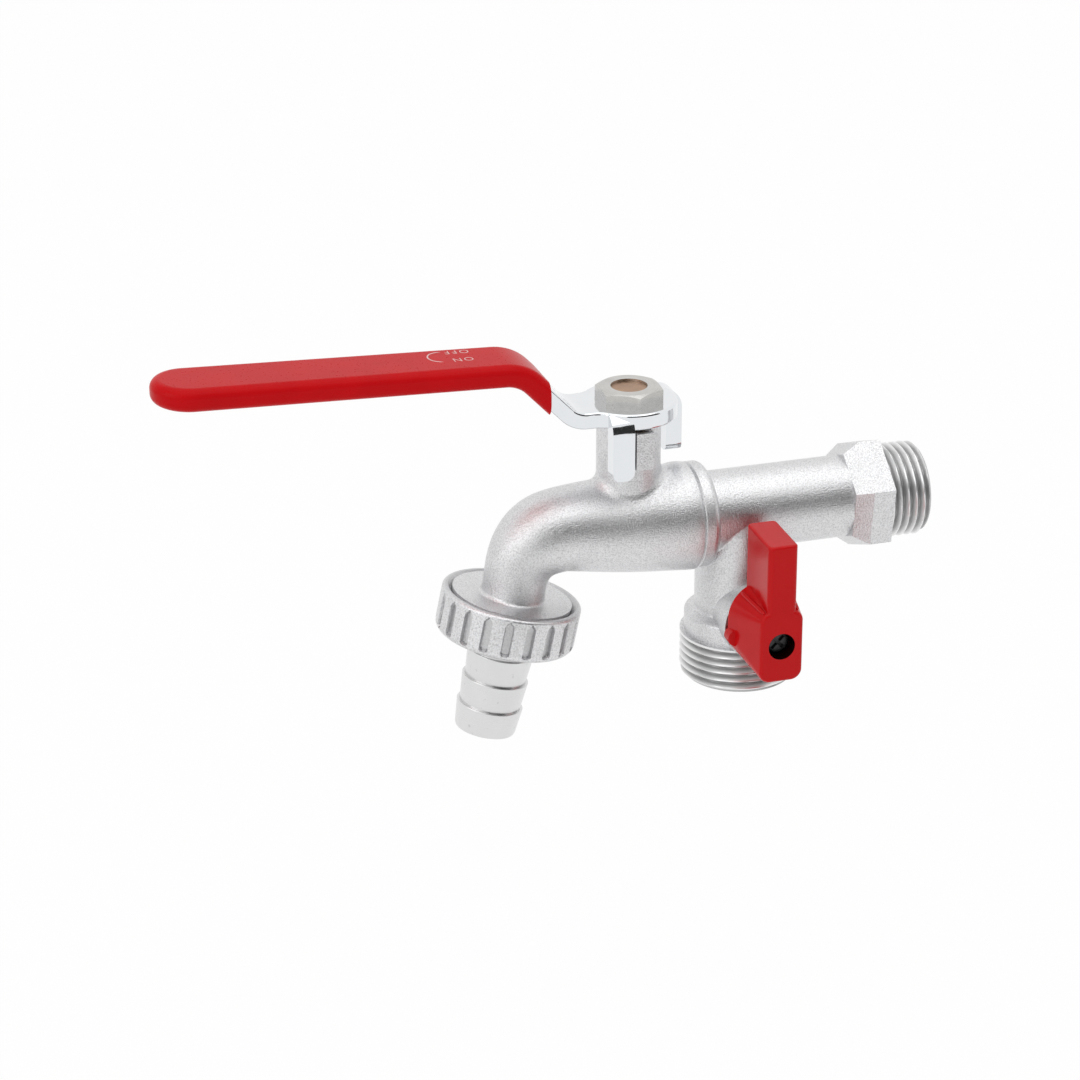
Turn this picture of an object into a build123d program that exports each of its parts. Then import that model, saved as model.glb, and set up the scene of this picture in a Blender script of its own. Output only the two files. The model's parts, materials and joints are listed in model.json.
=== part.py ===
"""Dual outlet garden tap: a bib tap with a lever ball valve and a hose union,
and a branch below its inlet tube with a small ball valve of its own."""

import math
import os

from build123d import *

os.makedirs("parts", exist_ok=True)

# All sizes are millimetres. The origin is the centre of the inlet thread's shoulder,
# +X leaves through the inlet, +Z is up, and the side handle stands on the -Y side.

# Fits
running_clearance = 0.08
seat_clearance = 0.05
screwed_clearance = 0.05
free_gap = 0.4
stop_gap = 0.3

# Inlet, G 1/2, with its hexagon and tube
inlet_thread_radius = 10.478
inlet_thread_length = 9.5
inlet_chamfer = 0.9
inlet_bore_radius = 6.3
hex_across_flats = 22.7
hex_length = 5.0
hex_slope_length = 3.4
hex_turn = 38.0
tube_radius = 9.1

# Seam where the front body screws on the inlet tube
seam_distance = 44.0
collar_radius = 11.7
collar_length = 4.0
collar_flat = 2.2
seam_chamfer = 0.4
spigot_radius = 9.5
spigot_length = 4.3
body_seal_thickness = 1.2

# Main ball valve, its axis upright
ball_offset = 14.0
ball_radius = 8.2
ball_room = 0.5
ball_bore_radius = 4.6
seat_inset = 0.8
seat_length = 3.2
seat_inner_radius = 4.9

# Main stem
stem_radius = 4.5
stem_flange_radius = 5.6
stem_flange_height = 1.8
stem_tang_thickness = 3.0
stem_tang_depth = 2.3
stem_thread_radius = 3.95
stem_flats = 5.8
o_ring_section = 0.75
o_ring_heights = (15.0, 19.5)
thrust_washer_thickness = 1.0

# Front body and its spout, measured from the seam
front_mouth_radius = 11.75
front_swell_radius = 11.8
front_swell_offset = 4.0
front_waist_radius = 11.25
front_waist_offset = 11.0
front_end_radius = 10.5
front_end_offset = 18.0
spout_rise = 0.4
bend_offset = 28.5
bend_radius = 11.0
outlet_tilt = 11.8
bend_radii = (9.35, 9.15, 8.75, 7.9, 7.2)
spout_drop = 5.45
spout_bore_radius = 5.0
spout_foot_round = 0.8
neck_radius = 7.0
neck_top = 24.9
neck_fillet = 2.5
lug_half_width = 2.0
lug_bottom = 16.6
lug_reach = 11.2

# Hose union, G 3/4, along the tilted outlet
union_thread_radius = 13.22
union_boss_length = 5.3
union_nut_radius = 15.4
union_nut_length = 10.0
union_lip = 1.8
nut_grip_count = 20
nut_grip_width = 1.95
nut_grip_depth = 0.9
nut_grip_margin = 1.2
nut_edge_round = 0.8
nut_foot_round = 1.8
washer_thickness = 1.5
tail_flange_radius = 12.4
tail_collar_room = 0.1
tail_collar_reach = 0.3
tail_neck_radius = 6.9
tail_crest_radius = 7.35
tail_valley_radius = 6.75
tail_bore_radius = 4.9
barb_start = 13.1
barb_pitch = 6.25
barb_count = 3
tail_end_chamfer = 0.7

# Lever, a bent strip with two stop tabs
lever_thickness = 3.6
lever_top = 29.0
lever_ring_radius = 10.5
arm_half_width = 6.4
arm_root_round = 4.0
tip_half_width = 7.2
tip_distance = 103.4
bend_start = 14.0
bend_end = 25.6
handle_rise = 12.05
tip_rise = 3.1
lower_bend_round = 6.5
upper_bend_round = 9.0
tab_root = 5.5
tab_width = 4.9
tab_bottom = 14.4
front_tab_reach = 11.0
rear_tab_reach = 13.0
tab_bend_round = 4.4
tab_corner_round = 1.8
lever_edge_round = 0.5
sleeve_start = 19.8
sleeve_thickness = 0.75
sleeve_edge_round = 2.0
nut_across_flats = 13.0
nut_height = 2.9
nut_recess = 0.5

# Lower branch, G 3/4, and its ball valve, its axis towards -Y
branch_offset = 12.5
column_proud = 1.0
column_taper_drop = 3.0
column_top_inset = 1.1
column_top_rise = 4.0
shoulder_height = 2.0
chamber_radius = 12.3
chamber_drop = 2.3
branch_fillet = 0.8
outlet_thread_radius = 13.22
outlet_thread_drop = 6.4
outlet_thread_length = 10.6
outlet_chamfer = 1.4
outlet_mouth_radius = 9.6
outlet_mouth_depth = 5.0
lower_axis_depth = 22.2
lower_ball_radius = 6.8
lower_bore_radius = 4.2
lower_ball_room = 0.8
lower_seat_inset = 0.7
lower_seat_length = 2.6
lower_seat_inner_radius = 4.5
lower_port_radius = 4.6
retainer_length = 4.5
retainer_slot_width = 2.0
retainer_slot_depth = 1.2
boss_radius = 8.4
boss_face = 13.4

# Side stem and its handle
side_stem_radius = 3.4
side_flange_radius = 4.5
side_flange_height = 1.2
side_washer_thickness = 0.8
side_tang_thickness = 2.6
side_tang_depth = 1.8
side_o_ring_section = 0.6
side_o_ring_distance = 11.4
side_square = 4.8
side_square_end = 20.0
handle_back = 14.2
handle_front = 26.0
handle_base_radius = 8.05
handle_base_rise = 2.7
handle_face_width = 9.5
handle_face_height = 16.4
handle_face_drop = 0.25
handle_face_round = 2.2
handle_edge_round = 0.8
wing_width = 6.7
wing_back = 11.9
wing_foot_gap = 0.5
wing_back_top = 23.8
wing_front_top = 23.5
wing_round = 1.1
handle_lug_radius = 1.9
handle_lug_reach = 7.0
handle_lug_drop = 1.0
handle_lug_depth = 2.6
screw_hole_radius = 3.0
screw_seat = 21.6
screw_head_radius = 2.7
screw_head_height = 1.7
screw_shank_radius = 1.6
screw_shank_length = 6.0
screw_cross_length = 3.8
screw_cross_width = 0.8
screw_cross_depth = 0.9

# Places worked out from the sizes above
ball_x = -seam_distance - ball_offset
branch_x = -seam_distance + branch_offset
cavity_radius = ball_radius + ball_room
seat_back = ball_radius - seat_inset
seat_start = seat_back - seat_length
cavity_end = ball_x - seat_back
spigot_end = ball_x + seat_back
seal_face = -seam_distance - spigot_length
mouth_floor = seal_face - body_seal_thickness
pilot_radius = cavity_radius - screwed_clearance
flange_bottom = cavity_radius + free_gap
flange_top = flange_bottom + stem_flange_height
washer_top = flange_top + thrust_washer_thickness
lever_bottom = lever_top - lever_thickness
column_radius = tube_radius + column_proud
column_top_radius = tube_radius - column_top_inset
chamber_top = lower_axis_depth + chamber_drop
shoulder_top = chamber_top - shoulder_height
shoulder_middle = chamber_top - shoulder_height / 2
outlet_thread_top = lower_axis_depth + outlet_thread_drop
outlet_end = outlet_thread_top + outlet_thread_length
lower_cavity_radius = lower_ball_radius + lower_ball_room
lower_seat_back = lower_ball_radius - lower_seat_inset
lower_seat_start = lower_seat_back - lower_seat_length
lower_z = -lower_axis_depth
side_flange_inner = lower_cavity_radius + free_gap
side_flange_outer = side_flange_inner + side_flange_height
side_washer_outer = side_flange_outer + side_washer_thickness
tilt = math.radians(outlet_tilt)
outlet_axis = Vector(-math.sin(tilt), 0, -math.cos(tilt))
outlet_radial = Vector(math.cos(tilt), 0, -math.sin(tilt))
bend_centre = Vector(-seam_distance - bend_offset, 0, spout_rise - bend_radius)
bend_turn = 90 - outlet_tilt


def bend_point(turn):
    """Point of the spout's centreline after it has turned down by so many degrees."""
    angle = math.radians(turn)
    return bend_centre + Vector(-math.sin(angle), 0, math.cos(angle)) * bend_radius


def bend_direction(turn):
    """Way the water flows at that point of the spout's centreline."""
    angle = math.radians(turn)
    return Vector(-math.cos(angle), 0, -math.sin(angle))


union_top = bend_point(bend_turn) + outlet_axis * spout_drop
across_outlet = Plane(union_top, x_dir=(0, 1, 0), z_dir=outlet_axis)
along_outlet = Plane(union_top, x_dir=outlet_radial, z_dir=(0, 1, 0))
union_line = Axis(union_top, outlet_axis)
branch_line = Axis((branch_x, 0, 0), (0, 0, 1))


# Rear body: inlet thread, hexagon, tube, collar, spigot and the branch, one casting
collar_bead = collar_length - collar_flat
hex_slope = math.degrees(math.atan((hex_across_flats / 2 - tube_radius) / hex_slope_length))
with BuildPart() as rear_body:
    with BuildSketch(Plane.XZ):
        with BuildLine():
            Polyline(
                (-seam_distance + collar_length, tube_radius),
                (0, tube_radius),
                (0, inlet_thread_radius),
                (inlet_thread_length - inlet_chamfer, inlet_thread_radius),
                (inlet_thread_length, inlet_thread_radius - inlet_chamfer),
                (inlet_thread_length, 0),
                (spigot_end, 0),
                (spigot_end, pilot_radius),
                (seal_face, pilot_radius),
                (seal_face, spigot_radius),
                (-seam_distance, spigot_radius),
                (-seam_distance, collar_radius - seam_chamfer),
                (-seam_distance + seam_chamfer, collar_radius),
                (-seam_distance + collar_flat, collar_radius),
            )
            EllipticalCenterArc(
                (-seam_distance + collar_flat, tube_radius), collar_bead, collar_radius - tube_radius,
            )
        make_face()
    revolve(axis=Axis.X)
    # Hexagon for the spanner, with sloped faces down to the tube
    with BuildSketch(Plane.YZ.offset(-hex_length)):
        RegularPolygon(hex_across_flats / 2, 6, major_radius=False, rotation=hex_turn)
    extrude(amount=hex_length)
    with BuildSketch(Plane.YZ.offset(-hex_length)):
        RegularPolygon(hex_across_flats / 2, 6, major_radius=False, rotation=hex_turn)
    extrude(amount=-hex_slope_length, taper=hex_slope)
    # Branch: a column that tapers into the tube, the valve chamber and the outlet thread
    with BuildSketch(Plane.XZ):
        with BuildLine():
            Polyline(
                (branch_x + column_radius, -shoulder_top),
                (branch_x + column_radius, -column_taper_drop),
                (branch_x + column_top_radius, column_top_rise),
                (branch_x, column_top_rise),
                (branch_x, -outlet_end),
                (branch_x + outlet_thread_radius - outlet_chamfer, -outlet_end),
                (branch_x + outlet_thread_radius, -outlet_end + outlet_chamfer),
                (branch_x + outlet_thread_radius, -outlet_thread_top),
                (branch_x + chamber_radius, -outlet_thread_top),
                (branch_x + chamber_radius, -chamber_top),
            )
            Bezier(
                (branch_x + chamber_radius, -chamber_top),
                (branch_x + chamber_radius, -shoulder_middle),
                (branch_x + column_radius, -shoulder_middle),
                (branch_x + column_radius, -shoulder_top),
            )
        make_face()
    revolve(axis=branch_line)
    branch_root = rear_body.edges().filter_by(
        lambda edge: abs(edge.center().X - branch_x) < column_radius and abs(edge.center().Z) < tube_radius
        and edge.geom_type not in (GeomType.CIRCLE, GeomType.LINE))
    fillet(branch_root, branch_fillet)
    # Boss for the side stem, trimmed where the outlet thread is turned
    with BuildSketch(Plane.XZ):
        with Locations((branch_x, lower_z)):
            Circle(boss_radius)
    extrude(amount=boss_face)
    with BuildSketch(Plane.XY.offset(-outlet_end)):
        with Locations((branch_x, 0)):
            Circle(outlet_thread_radius + boss_face)
            Circle(outlet_thread_radius, mode=Mode.SUBTRACT)
    extrude(amount=outlet_end - outlet_thread_top, mode=Mode.SUBTRACT)
    # Water ways: inlet bore, port down to the lower ball, its chamber and the outlet mouth
    with BuildSketch(Plane.XZ):
        with BuildLine():
            Polyline(
                (inlet_thread_length, 0),
                (inlet_thread_length, inlet_bore_radius),
                (-seam_distance, inlet_bore_radius),
                (spigot_end, seat_inner_radius),
                (spigot_end, 0),
                close=True,
            )
        make_face()
    revolve(axis=Axis.X, mode=Mode.SUBTRACT)
    with BuildSketch(Plane.XY.offset(-outlet_end)):
        with Locations((branch_x, 0)):
            Circle(lower_port_radius)
    extrude(amount=outlet_end, mode=Mode.SUBTRACT)
    with BuildSketch(Plane.XY.offset(-outlet_end)):
        with Locations((branch_x, 0)):
            Circle(lower_cavity_radius)
    extrude(amount=outlet_end - lower_axis_depth + lower_seat_back, mode=Mode.SUBTRACT)
    with BuildSketch(Plane.XY.offset(-outlet_end)):
        with Locations((branch_x, 0)):
            Circle(outlet_mouth_radius)
    extrude(amount=outlet_mouth_depth, mode=Mode.SUBTRACT)
    # Pocket and bore of the side stem
    with BuildSketch(Plane.XZ):
        with Locations((branch_x, lower_z)):
            Circle(side_flange_radius + running_clearance)
    extrude(amount=side_washer_outer, mode=Mode.SUBTRACT)
    with BuildSketch(Plane.XZ):
        with Locations((branch_x, lower_z)):
            Circle(side_stem_radius + running_clearance)
    extrude(amount=boss_face, mode=Mode.SUBTRACT)
rear_body.part.label = "rear_body"
export_step(rear_body.part, "parts/rear_body.step")


# Front body: valve housing, neck with its stop lug, curved spout and the union's boss
towards_spout = Vector(-1, 0, 0)
spout_stations = [
    (Vector(-seam_distance, 0, 0), towards_spout, front_mouth_radius),
    (Vector(-seam_distance - front_swell_offset, 0, 0), towards_spout, front_swell_radius),
    (Vector(-seam_distance - front_waist_offset, 0, 0), towards_spout, front_waist_radius),
    (Vector(-seam_distance - front_end_offset, 0, 0), towards_spout, front_end_radius),
]
for step, radius in enumerate(bend_radii):
    turn = bend_turn * step / (len(bend_radii) - 1)
    spout_stations.append((bend_point(turn), bend_direction(turn), radius))
spout_stations.append((union_top, outlet_axis, bend_radii[-1]))
with BuildPart() as front_body:
    for place, direction, radius in spout_stations:
        with BuildSketch(Plane(place, x_dir=(0, 1, 0), z_dir=direction)):
            Circle(radius)
    loft()
    chamfer(front_body.edges().group_by(Axis.X)[-1], seam_chamfer)
    with BuildSketch(across_outlet):
        Circle(union_thread_radius)
    extrude(amount=union_boss_length)
    spout_foot = front_body.edges().filter_by(
        lambda edge: abs(edge.length - 2 * math.pi * bend_radii[-1]) < seat_clearance)
    fillet(spout_foot, spout_foot_round)
    with BuildSketch(Plane.XY):
        with Locations((ball_x, 0)):
            Circle(neck_radius)
    extrude(amount=neck_top)
    neck_side = front_body.faces().filter_by(GeomType.CYLINDER).sort_by(Axis.Z)[-1]
    neck_foot = neck_side.edges().filter_by(
        lambda edge: edge.geom_type not in (GeomType.CIRCLE, GeomType.LINE))
    fillet(neck_foot, neck_fillet)
    with BuildSketch(Plane.XY.offset(lug_bottom)):
        with Locations((ball_x, -lug_reach / 2)):
            Rectangle(2 * lug_half_width, lug_reach)
    extrude(amount=neck_top - lug_bottom)
    # Mouth for the spigot, valve cavity and the way through the spout
    with BuildSketch(Plane.XZ):
        with BuildLine():
            Polyline(
                (-seam_distance, 0),
                (-seam_distance, spigot_radius + screwed_clearance),
                (mouth_floor, spigot_radius + screwed_clearance),
                (mouth_floor, cavity_radius),
                (cavity_end, cavity_radius),
                (cavity_end, 0),
                close=True,
            )
        make_face()
    revolve(axis=Axis.X, mode=Mode.SUBTRACT)
    with BuildLine() as spout_way:
        Line((ball_x - seat_start, 0, spout_rise), bend_point(0))
        ThreePointArc(bend_point(0), bend_point(bend_turn / 2), bend_point(bend_turn))
        Line(bend_point(bend_turn), union_top + outlet_axis * union_boss_length)
    with BuildSketch(Plane((ball_x - seat_start, 0, spout_rise), x_dir=(0, 1, 0), z_dir=(-1, 0, 0))):
        Circle(spout_bore_radius)
    sweep(path=spout_way.wires()[0], mode=Mode.SUBTRACT)
    # Pocket of the stem's flange and the stem's bore
    with BuildSketch(Plane.XY):
        with Locations((ball_x, 0)):
            Circle(stem_flange_radius + running_clearance)
    extrude(amount=washer_top, mode=Mode.SUBTRACT)
    with BuildSketch(Plane.XY):
        with Locations((ball_x, 0)):
            Circle(stem_radius + running_clearance)
    extrude(amount=neck_top, mode=Mode.SUBTRACT)
front_body.part.label = "front_body"
export_step(front_body.part, "parts/front_body.step")


# Main ball with its bore along X when open, and the slot that the stem turns it by
with BuildPart() as main_ball:
    with Locations((ball_x, 0, 0)):
        Sphere(ball_radius)
    with BuildSketch(Plane.YZ.offset(ball_x)):
        Circle(ball_bore_radius)
    extrude(amount=ball_radius, both=True, mode=Mode.SUBTRACT)
    with BuildSketch(Plane.XY.offset(ball_radius - stem_tang_depth - seat_clearance)):
        with Locations((ball_x, 0)):
            Rectangle(stem_tang_thickness + 2 * running_clearance, 2 * ball_radius)
    extrude(amount=ball_radius, mode=Mode.SUBTRACT)
main_ball.part.label = "main_ball"
export_step(main_ball.part, "parts/main_ball.step")


# Seat rings of the main ball, one against the spout's shoulder and one against the spigot
seat_outer_radius = cavity_radius - seat_clearance
seat_width = seat_outer_radius - seat_inner_radius
for place, way in (("front", -1), ("rear", 1)):
    with BuildPart() as main_seat:
        with BuildSketch(Plane.XZ):
            with Locations((ball_x + way * (seat_start + seat_length / 2), seat_inner_radius + seat_width / 2)):
                Rectangle(seat_length, seat_width)
            with Locations((ball_x, 0)):
                Circle(ball_radius + seat_clearance, mode=Mode.SUBTRACT)
        revolve(axis=Axis.X)
    main_seat.part.label = f"main_seat_{place}"
    export_step(main_seat.part, f"parts/main_seat_{place}.step")


# Flat seal between the spigot's step and the floor of the front body's mouth
with BuildPart() as body_seal:
    with BuildSketch(Plane.YZ.offset(mouth_floor)):
        Circle(spigot_radius)
        Circle(pilot_radius + seat_clearance, mode=Mode.SUBTRACT)
    extrude(amount=body_seal_thickness)
body_seal.part.label = "body_seal"
export_step(body_seal.part, "parts/body_seal.step")


# Main stem: tang, flange, grooved shaft, flats for the lever and a threaded end
o_ring_outer = stem_radius + running_clearance - seat_clearance
groove_radius = o_ring_outer - 2 * o_ring_section - seat_clearance
groove_half = o_ring_section + running_clearance
stem_end = lever_top + nut_height - nut_recess
with BuildPart() as main_stem:
    with BuildSketch(Plane.XZ):
        with BuildLine():
            Polyline(
                (ball_x, flange_bottom),
                (ball_x + stem_flange_radius, flange_bottom),
                (ball_x + stem_flange_radius, flange_top),
                (ball_x + stem_radius, flange_top),
                (ball_x + stem_radius, lever_bottom),
                (ball_x + stem_thread_radius, lever_bottom),
                (ball_x + stem_thread_radius, stem_end),
                (ball_x, stem_end),
                close=True,
            )
        make_face()
    revolve(axis=Axis((ball_x, 0, 0), (0, 0, 1)))
    with BuildSketch(Plane.XY.offset(ball_radius - stem_tang_depth)):
        with Locations((ball_x, 0)):
            Rectangle(stem_tang_thickness, 2 * (seat_start - free_gap))
    extrude(amount=flange_bottom - ball_radius + stem_tang_depth)
    for height in o_ring_heights:
        with BuildSketch(Plane.XY.offset(height - groove_half)):
            with Locations((ball_x, 0)):
                Circle(stem_radius)
                Circle(groove_radius, mode=Mode.SUBTRACT)
        extrude(amount=2 * groove_half, mode=Mode.SUBTRACT)
    with BuildSketch(Plane.XY.offset(lever_bottom)):
        with Locations((ball_x, 0)):
            Circle(stem_radius)
            Rectangle(2 * stem_radius, stem_flats, mode=Mode.SUBTRACT)
    extrude(amount=lever_thickness, mode=Mode.SUBTRACT)
main_stem.part.label = "main_stem"
export_step(main_stem.part, "parts/main_stem.step")


# Thrust washer between the stem's flange and the neck
with BuildPart() as stem_thrust_washer:
    with BuildSketch(Plane.XY.offset(flange_top)):
        with Locations((ball_x, 0)):
            Circle(stem_flange_radius)
            Circle(stem_radius + seat_clearance, mode=Mode.SUBTRACT)
    extrude(amount=thrust_washer_thickness - seat_clearance)
stem_thrust_washer.part.label = "stem_thrust_washer"
export_step(stem_thrust_washer.part, "parts/stem_thrust_washer.step")


# Rubber rings in the stem's grooves
for place, height in zip(("lower", "upper"), o_ring_heights):
    with BuildPart() as stem_o_ring:
        with Locations((ball_x, 0, height)):
            Torus(o_ring_outer - o_ring_section, o_ring_section)
    stem_o_ring.part.label = f"stem_o_ring_{place}"
    export_step(stem_o_ring.part, f"parts/stem_o_ring_{place}.step")


# Side view of the lever's strip: flat at the stem, up a slope, then a rising handle
strip_centre = lever_bottom + lever_thickness / 2
handle_slope = tip_rise / (tip_distance - bend_end)
strip_end = tip_distance + lever_thickness
strip_line = [
    Vector(ball_x + rear_tab_reach, strip_centre),
    Vector(ball_x - bend_start, strip_centre),
    Vector(ball_x - bend_end, strip_centre + handle_rise),
    Vector(ball_x - strip_end, strip_centre + handle_rise + (strip_end - bend_end) * handle_slope),
]


def strip_edge(line, shift):
    """The bent line moved sideways by shift, with its corners on the mitres."""
    ways = [(end - start).normalized() for start, end in zip(line, line[1:])]
    sides = [Vector(way.Y, -way.X) for way in ways]
    moved = [line[0] + sides[0] * shift]
    for corner, before, after in zip(line[1:-1], sides, sides[1:]):
        moved.append(corner + (before + after) * (shift / (1 + before.dot(after))))
    moved.append(line[-1] + sides[-1] * shift)
    return moved


def strip_side(line, half):
    """Draws the closed side view of a strip of that half thickness about the bent line."""
    over = strip_edge(line, half)
    under = strip_edge(line, -half)
    FilletPolyline(*over, radius=[lower_bend_round - half, upper_bend_round + half])
    Line(over[-1], under[-1])
    FilletPolyline(*under, radius=[lower_bend_round + half, upper_bend_round - half])
    Line(under[0], over[0])


def arm_plan(margin):
    """Draws the arm seen from above, wider by margin all round: two straight sides that
    spread from the stem and run on as tangents into a round tip."""
    round_radius = tip_half_width + margin
    reach = tip_distance - tip_half_width
    spread = math.asin((tip_half_width - arm_half_width) / reach)
    tip = (ball_x - reach + round_radius * math.sin(spread), round_radius * math.cos(spread))
    start = (ball_x, tip[1] - (ball_x - tip[0]) * math.tan(spread))
    Line(start, tip)
    ThreePointArc(tip, (ball_x - tip_distance - margin, 0), (tip[0], -tip[1]))
    Polyline((tip[0], -tip[1]), (start[0], -start[1]), start)


def tab_side(reach):
    """Draws the side view of a stop tab that folds down at that reach from the stem's axis."""
    FilletPolyline(
        (tab_root, lever_top), (reach, lever_top), (reach, tab_bottom), radius=tab_bend_round,
    )
    Line((reach, tab_bottom), (reach - lever_thickness, tab_bottom))
    FilletPolyline(
        (reach - lever_thickness, tab_bottom),
        (reach - lever_thickness, lever_bottom),
        (tab_root, lever_bottom),
        radius=tab_bend_round - lever_thickness,
    )
    Line((tab_root, lever_bottom), (tab_root, lever_top))


# Lever: the strip cut to its outline, the ring round the stem and the two stop tabs
tab_edge = lug_half_width + stop_gap
plan_height = handle_rise + tip_rise + 4 * lever_thickness
with BuildPart() as lever:
    with BuildSketch(Plane.XZ):
        with BuildLine():
            strip_side(strip_line, lever_thickness / 2)
        make_face()
    extrude(amount=lever_ring_radius, both=True)
    with BuildSketch(Plane.XY.offset(lever_bottom - lever_thickness)) as lever_plan:
        with BuildLine():
            arm_plan(0)
        make_face()
        with Locations((ball_x, 0)):
            Circle(lever_ring_radius)
        arm_roots = lever_plan.vertices().filter_by(
            lambda corner: ball_x - lever_ring_radius < corner.X < ball_x - stem_radius)
        fillet(arm_roots, arm_root_round)
    extrude(amount=plan_height, mode=Mode.INTERSECT)
    rims = lever.edges().filter_by(Axis.Z, reverse=True).filter_by(Axis.Y, reverse=True)
    fillet(rims, lever_edge_round)
    front_tab_start = (ball_x - tab_edge, 0, 0)
    with BuildSketch(Plane(front_tab_start, x_dir=(0, -1, 0), z_dir=(-1, 0, 0))):
        with BuildLine():
            tab_side(front_tab_reach)
        make_face()
    extrude(amount=tab_width)
    rear_tab_start = (ball_x, tab_edge + tab_width, 0)
    with BuildSketch(Plane(rear_tab_start, x_dir=(1, 0, 0), z_dir=(0, -1, 0))):
        with BuildLine():
            tab_side(rear_tab_reach)
        make_face()
    extrude(amount=tab_width)
    tab_corners = lever.edges().group_by(Axis.Z)[0].filter_by(
        lambda edge: abs(edge.length - lever_thickness) < seat_clearance)
    fillet(tab_corners, tab_corner_round)
    with BuildSketch(Plane.XY.offset(lever_bottom)):
        with Locations((ball_x, 0)):
            Circle(stem_thread_radius + screwed_clearance)
            Rectangle(2 * lever_ring_radius, stem_flats + 2 * screwed_clearance, mode=Mode.INTERSECT)
    extrude(amount=lever_thickness, mode=Mode.SUBTRACT)
lever.part.label = "lever"
export_step(lever.part, "parts/lever.step")


# Vinyl sleeve dipped over the handle, its open end square to the handle
sleeve_half = lever_thickness / 2 + sleeve_thickness
with BuildPart() as lever_sleeve:
    with BuildSketch(Plane.XZ):
        with BuildLine():
            strip_side(strip_line, sleeve_half)
        make_face()
    extrude(amount=lever_ring_radius, both=True)
    with BuildSketch(Plane.XY.offset(lever_bottom - lever_thickness)):
        with BuildLine():
            arm_plan(sleeve_thickness)
        make_face()
    extrude(amount=plan_height, mode=Mode.INTERSECT)
    long_edges = lever_sleeve.edges().filter_by(Axis.Z, reverse=True).filter_by(Axis.Y, reverse=True)
    fillet(long_edges, sleeve_edge_round)
    with BuildSketch(Plane.YZ.offset(ball_x - sleeve_start)):
        Rectangle(4 * tip_half_width, 4 * lever_top)
    extrude(amount=sleeve_start + rear_tab_reach, mode=Mode.SUBTRACT)
    add(lever.part, mode=Mode.SUBTRACT)
lever_sleeve.part.label = "lever_sleeve"
export_step(lever_sleeve.part, "parts/lever_sleeve.step")


# Thin hexagon nut that holds the lever on the stem
with BuildPart() as lever_nut:
    with BuildSketch(Plane.XY.offset(lever_top)):
        with Locations((ball_x, 0)):
            RegularPolygon(nut_across_flats / 2, 6, major_radius=False, rotation=90)
            Circle(stem_thread_radius + screwed_clearance, mode=Mode.SUBTRACT)
    extrude(amount=nut_height)
    nut_corner_radius = nut_across_flats / math.sqrt(3)
    with BuildSketch(Plane.XZ):
        with BuildLine():
            Polyline(
                (ball_x, lever_top),
                (ball_x + nut_corner_radius, lever_top),
                (ball_x + nut_corner_radius, lever_top + nut_height - nut_recess),
                (ball_x + nut_across_flats / 2 - nut_recess / 2, lever_top + nut_height),
                (ball_x, lever_top + nut_height),
                close=True,
            )
        make_face()
    revolve(axis=Axis((ball_x, 0, 0), (0, 0, 1)), mode=Mode.INTERSECT)
lever_nut.part.label = "lever_nut"
export_step(lever_nut.part, "parts/lever_nut.step")


# Union nut with its gripping grooves, and a lip under the hose tail that passes over the barbs
union_bore_radius = union_thread_radius + running_clearance
tail_collar_radius = tail_crest_radius + tail_collar_room
lip_top = union_nut_length - union_lip
with BuildPart() as union_nut:
    with BuildSketch(across_outlet):
        Circle(union_nut_radius)
    extrude(amount=union_nut_length)
    fillet(union_nut.edges().sort_by(union_line)[:1], nut_edge_round)
    fillet(union_nut.edges().sort_by(union_line)[-1:], nut_foot_round)
    with BuildSketch(across_outlet.offset(nut_grip_margin)):
        with PolarLocations(union_nut_radius, nut_grip_count):
            Rectangle(2 * nut_grip_depth, nut_grip_width)
    extrude(amount=union_nut_length - 2 * nut_grip_margin, mode=Mode.SUBTRACT)
    with BuildSketch(across_outlet):
        Circle(union_bore_radius)
    extrude(amount=lip_top, mode=Mode.SUBTRACT)
    with BuildSketch(across_outlet):
        Circle(tail_collar_radius + running_clearance)
    extrude(amount=union_nut_length, mode=Mode.SUBTRACT)
union_nut.part.label = "union_nut"
export_step(union_nut.part, "parts/union_nut.step")


# Flat rubber washer between the boss and the hose tail
flange_face = union_boss_length + washer_thickness
with BuildPart() as hose_washer:
    with BuildSketch(across_outlet.offset(union_boss_length)):
        Circle(tail_flange_radius)
        Circle(tail_bore_radius, mode=Mode.SUBTRACT)
    extrude(amount=washer_thickness)
hose_washer.part.label = "hose_washer"
export_step(hose_washer.part, "parts/hose_washer.step")


# Hose tail: flange and collar inside the nut, neck, barbs whose shoulders face the tap, and its bore
tail_end = barb_start + barb_count * barb_pitch
with BuildPart() as hose_tail:
    tail_outline = [
        (tail_bore_radius, flange_face),
        (tail_flange_radius, flange_face),
        (tail_flange_radius, lip_top - seat_clearance),
        (tail_collar_radius, lip_top - seat_clearance),
        (tail_collar_radius, union_nut_length + tail_collar_reach),
        (tail_neck_radius, union_nut_length + tail_collar_reach),
        (tail_neck_radius, barb_start),
    ]
    for barb in range(barb_count):
        shoulder = barb_start + barb * barb_pitch
        tail_outline.append((tail_crest_radius, shoulder))
        if barb < barb_count - 1:
            tail_outline.append((tail_valley_radius, shoulder + barb_pitch))
    tail_outline.append((tail_valley_radius, tail_end - tail_end_chamfer))
    tail_outline.append((tail_valley_radius - tail_end_chamfer, tail_end))
    tail_outline.append((tail_bore_radius, tail_end))
    with BuildSketch(along_outlet):
        with BuildLine():
            Polyline(*tail_outline, close=True)
        make_face()
    revolve(axis=union_line)
hose_tail.part.label = "hose_tail"
export_step(hose_tail.part, "parts/hose_tail.step")


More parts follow.
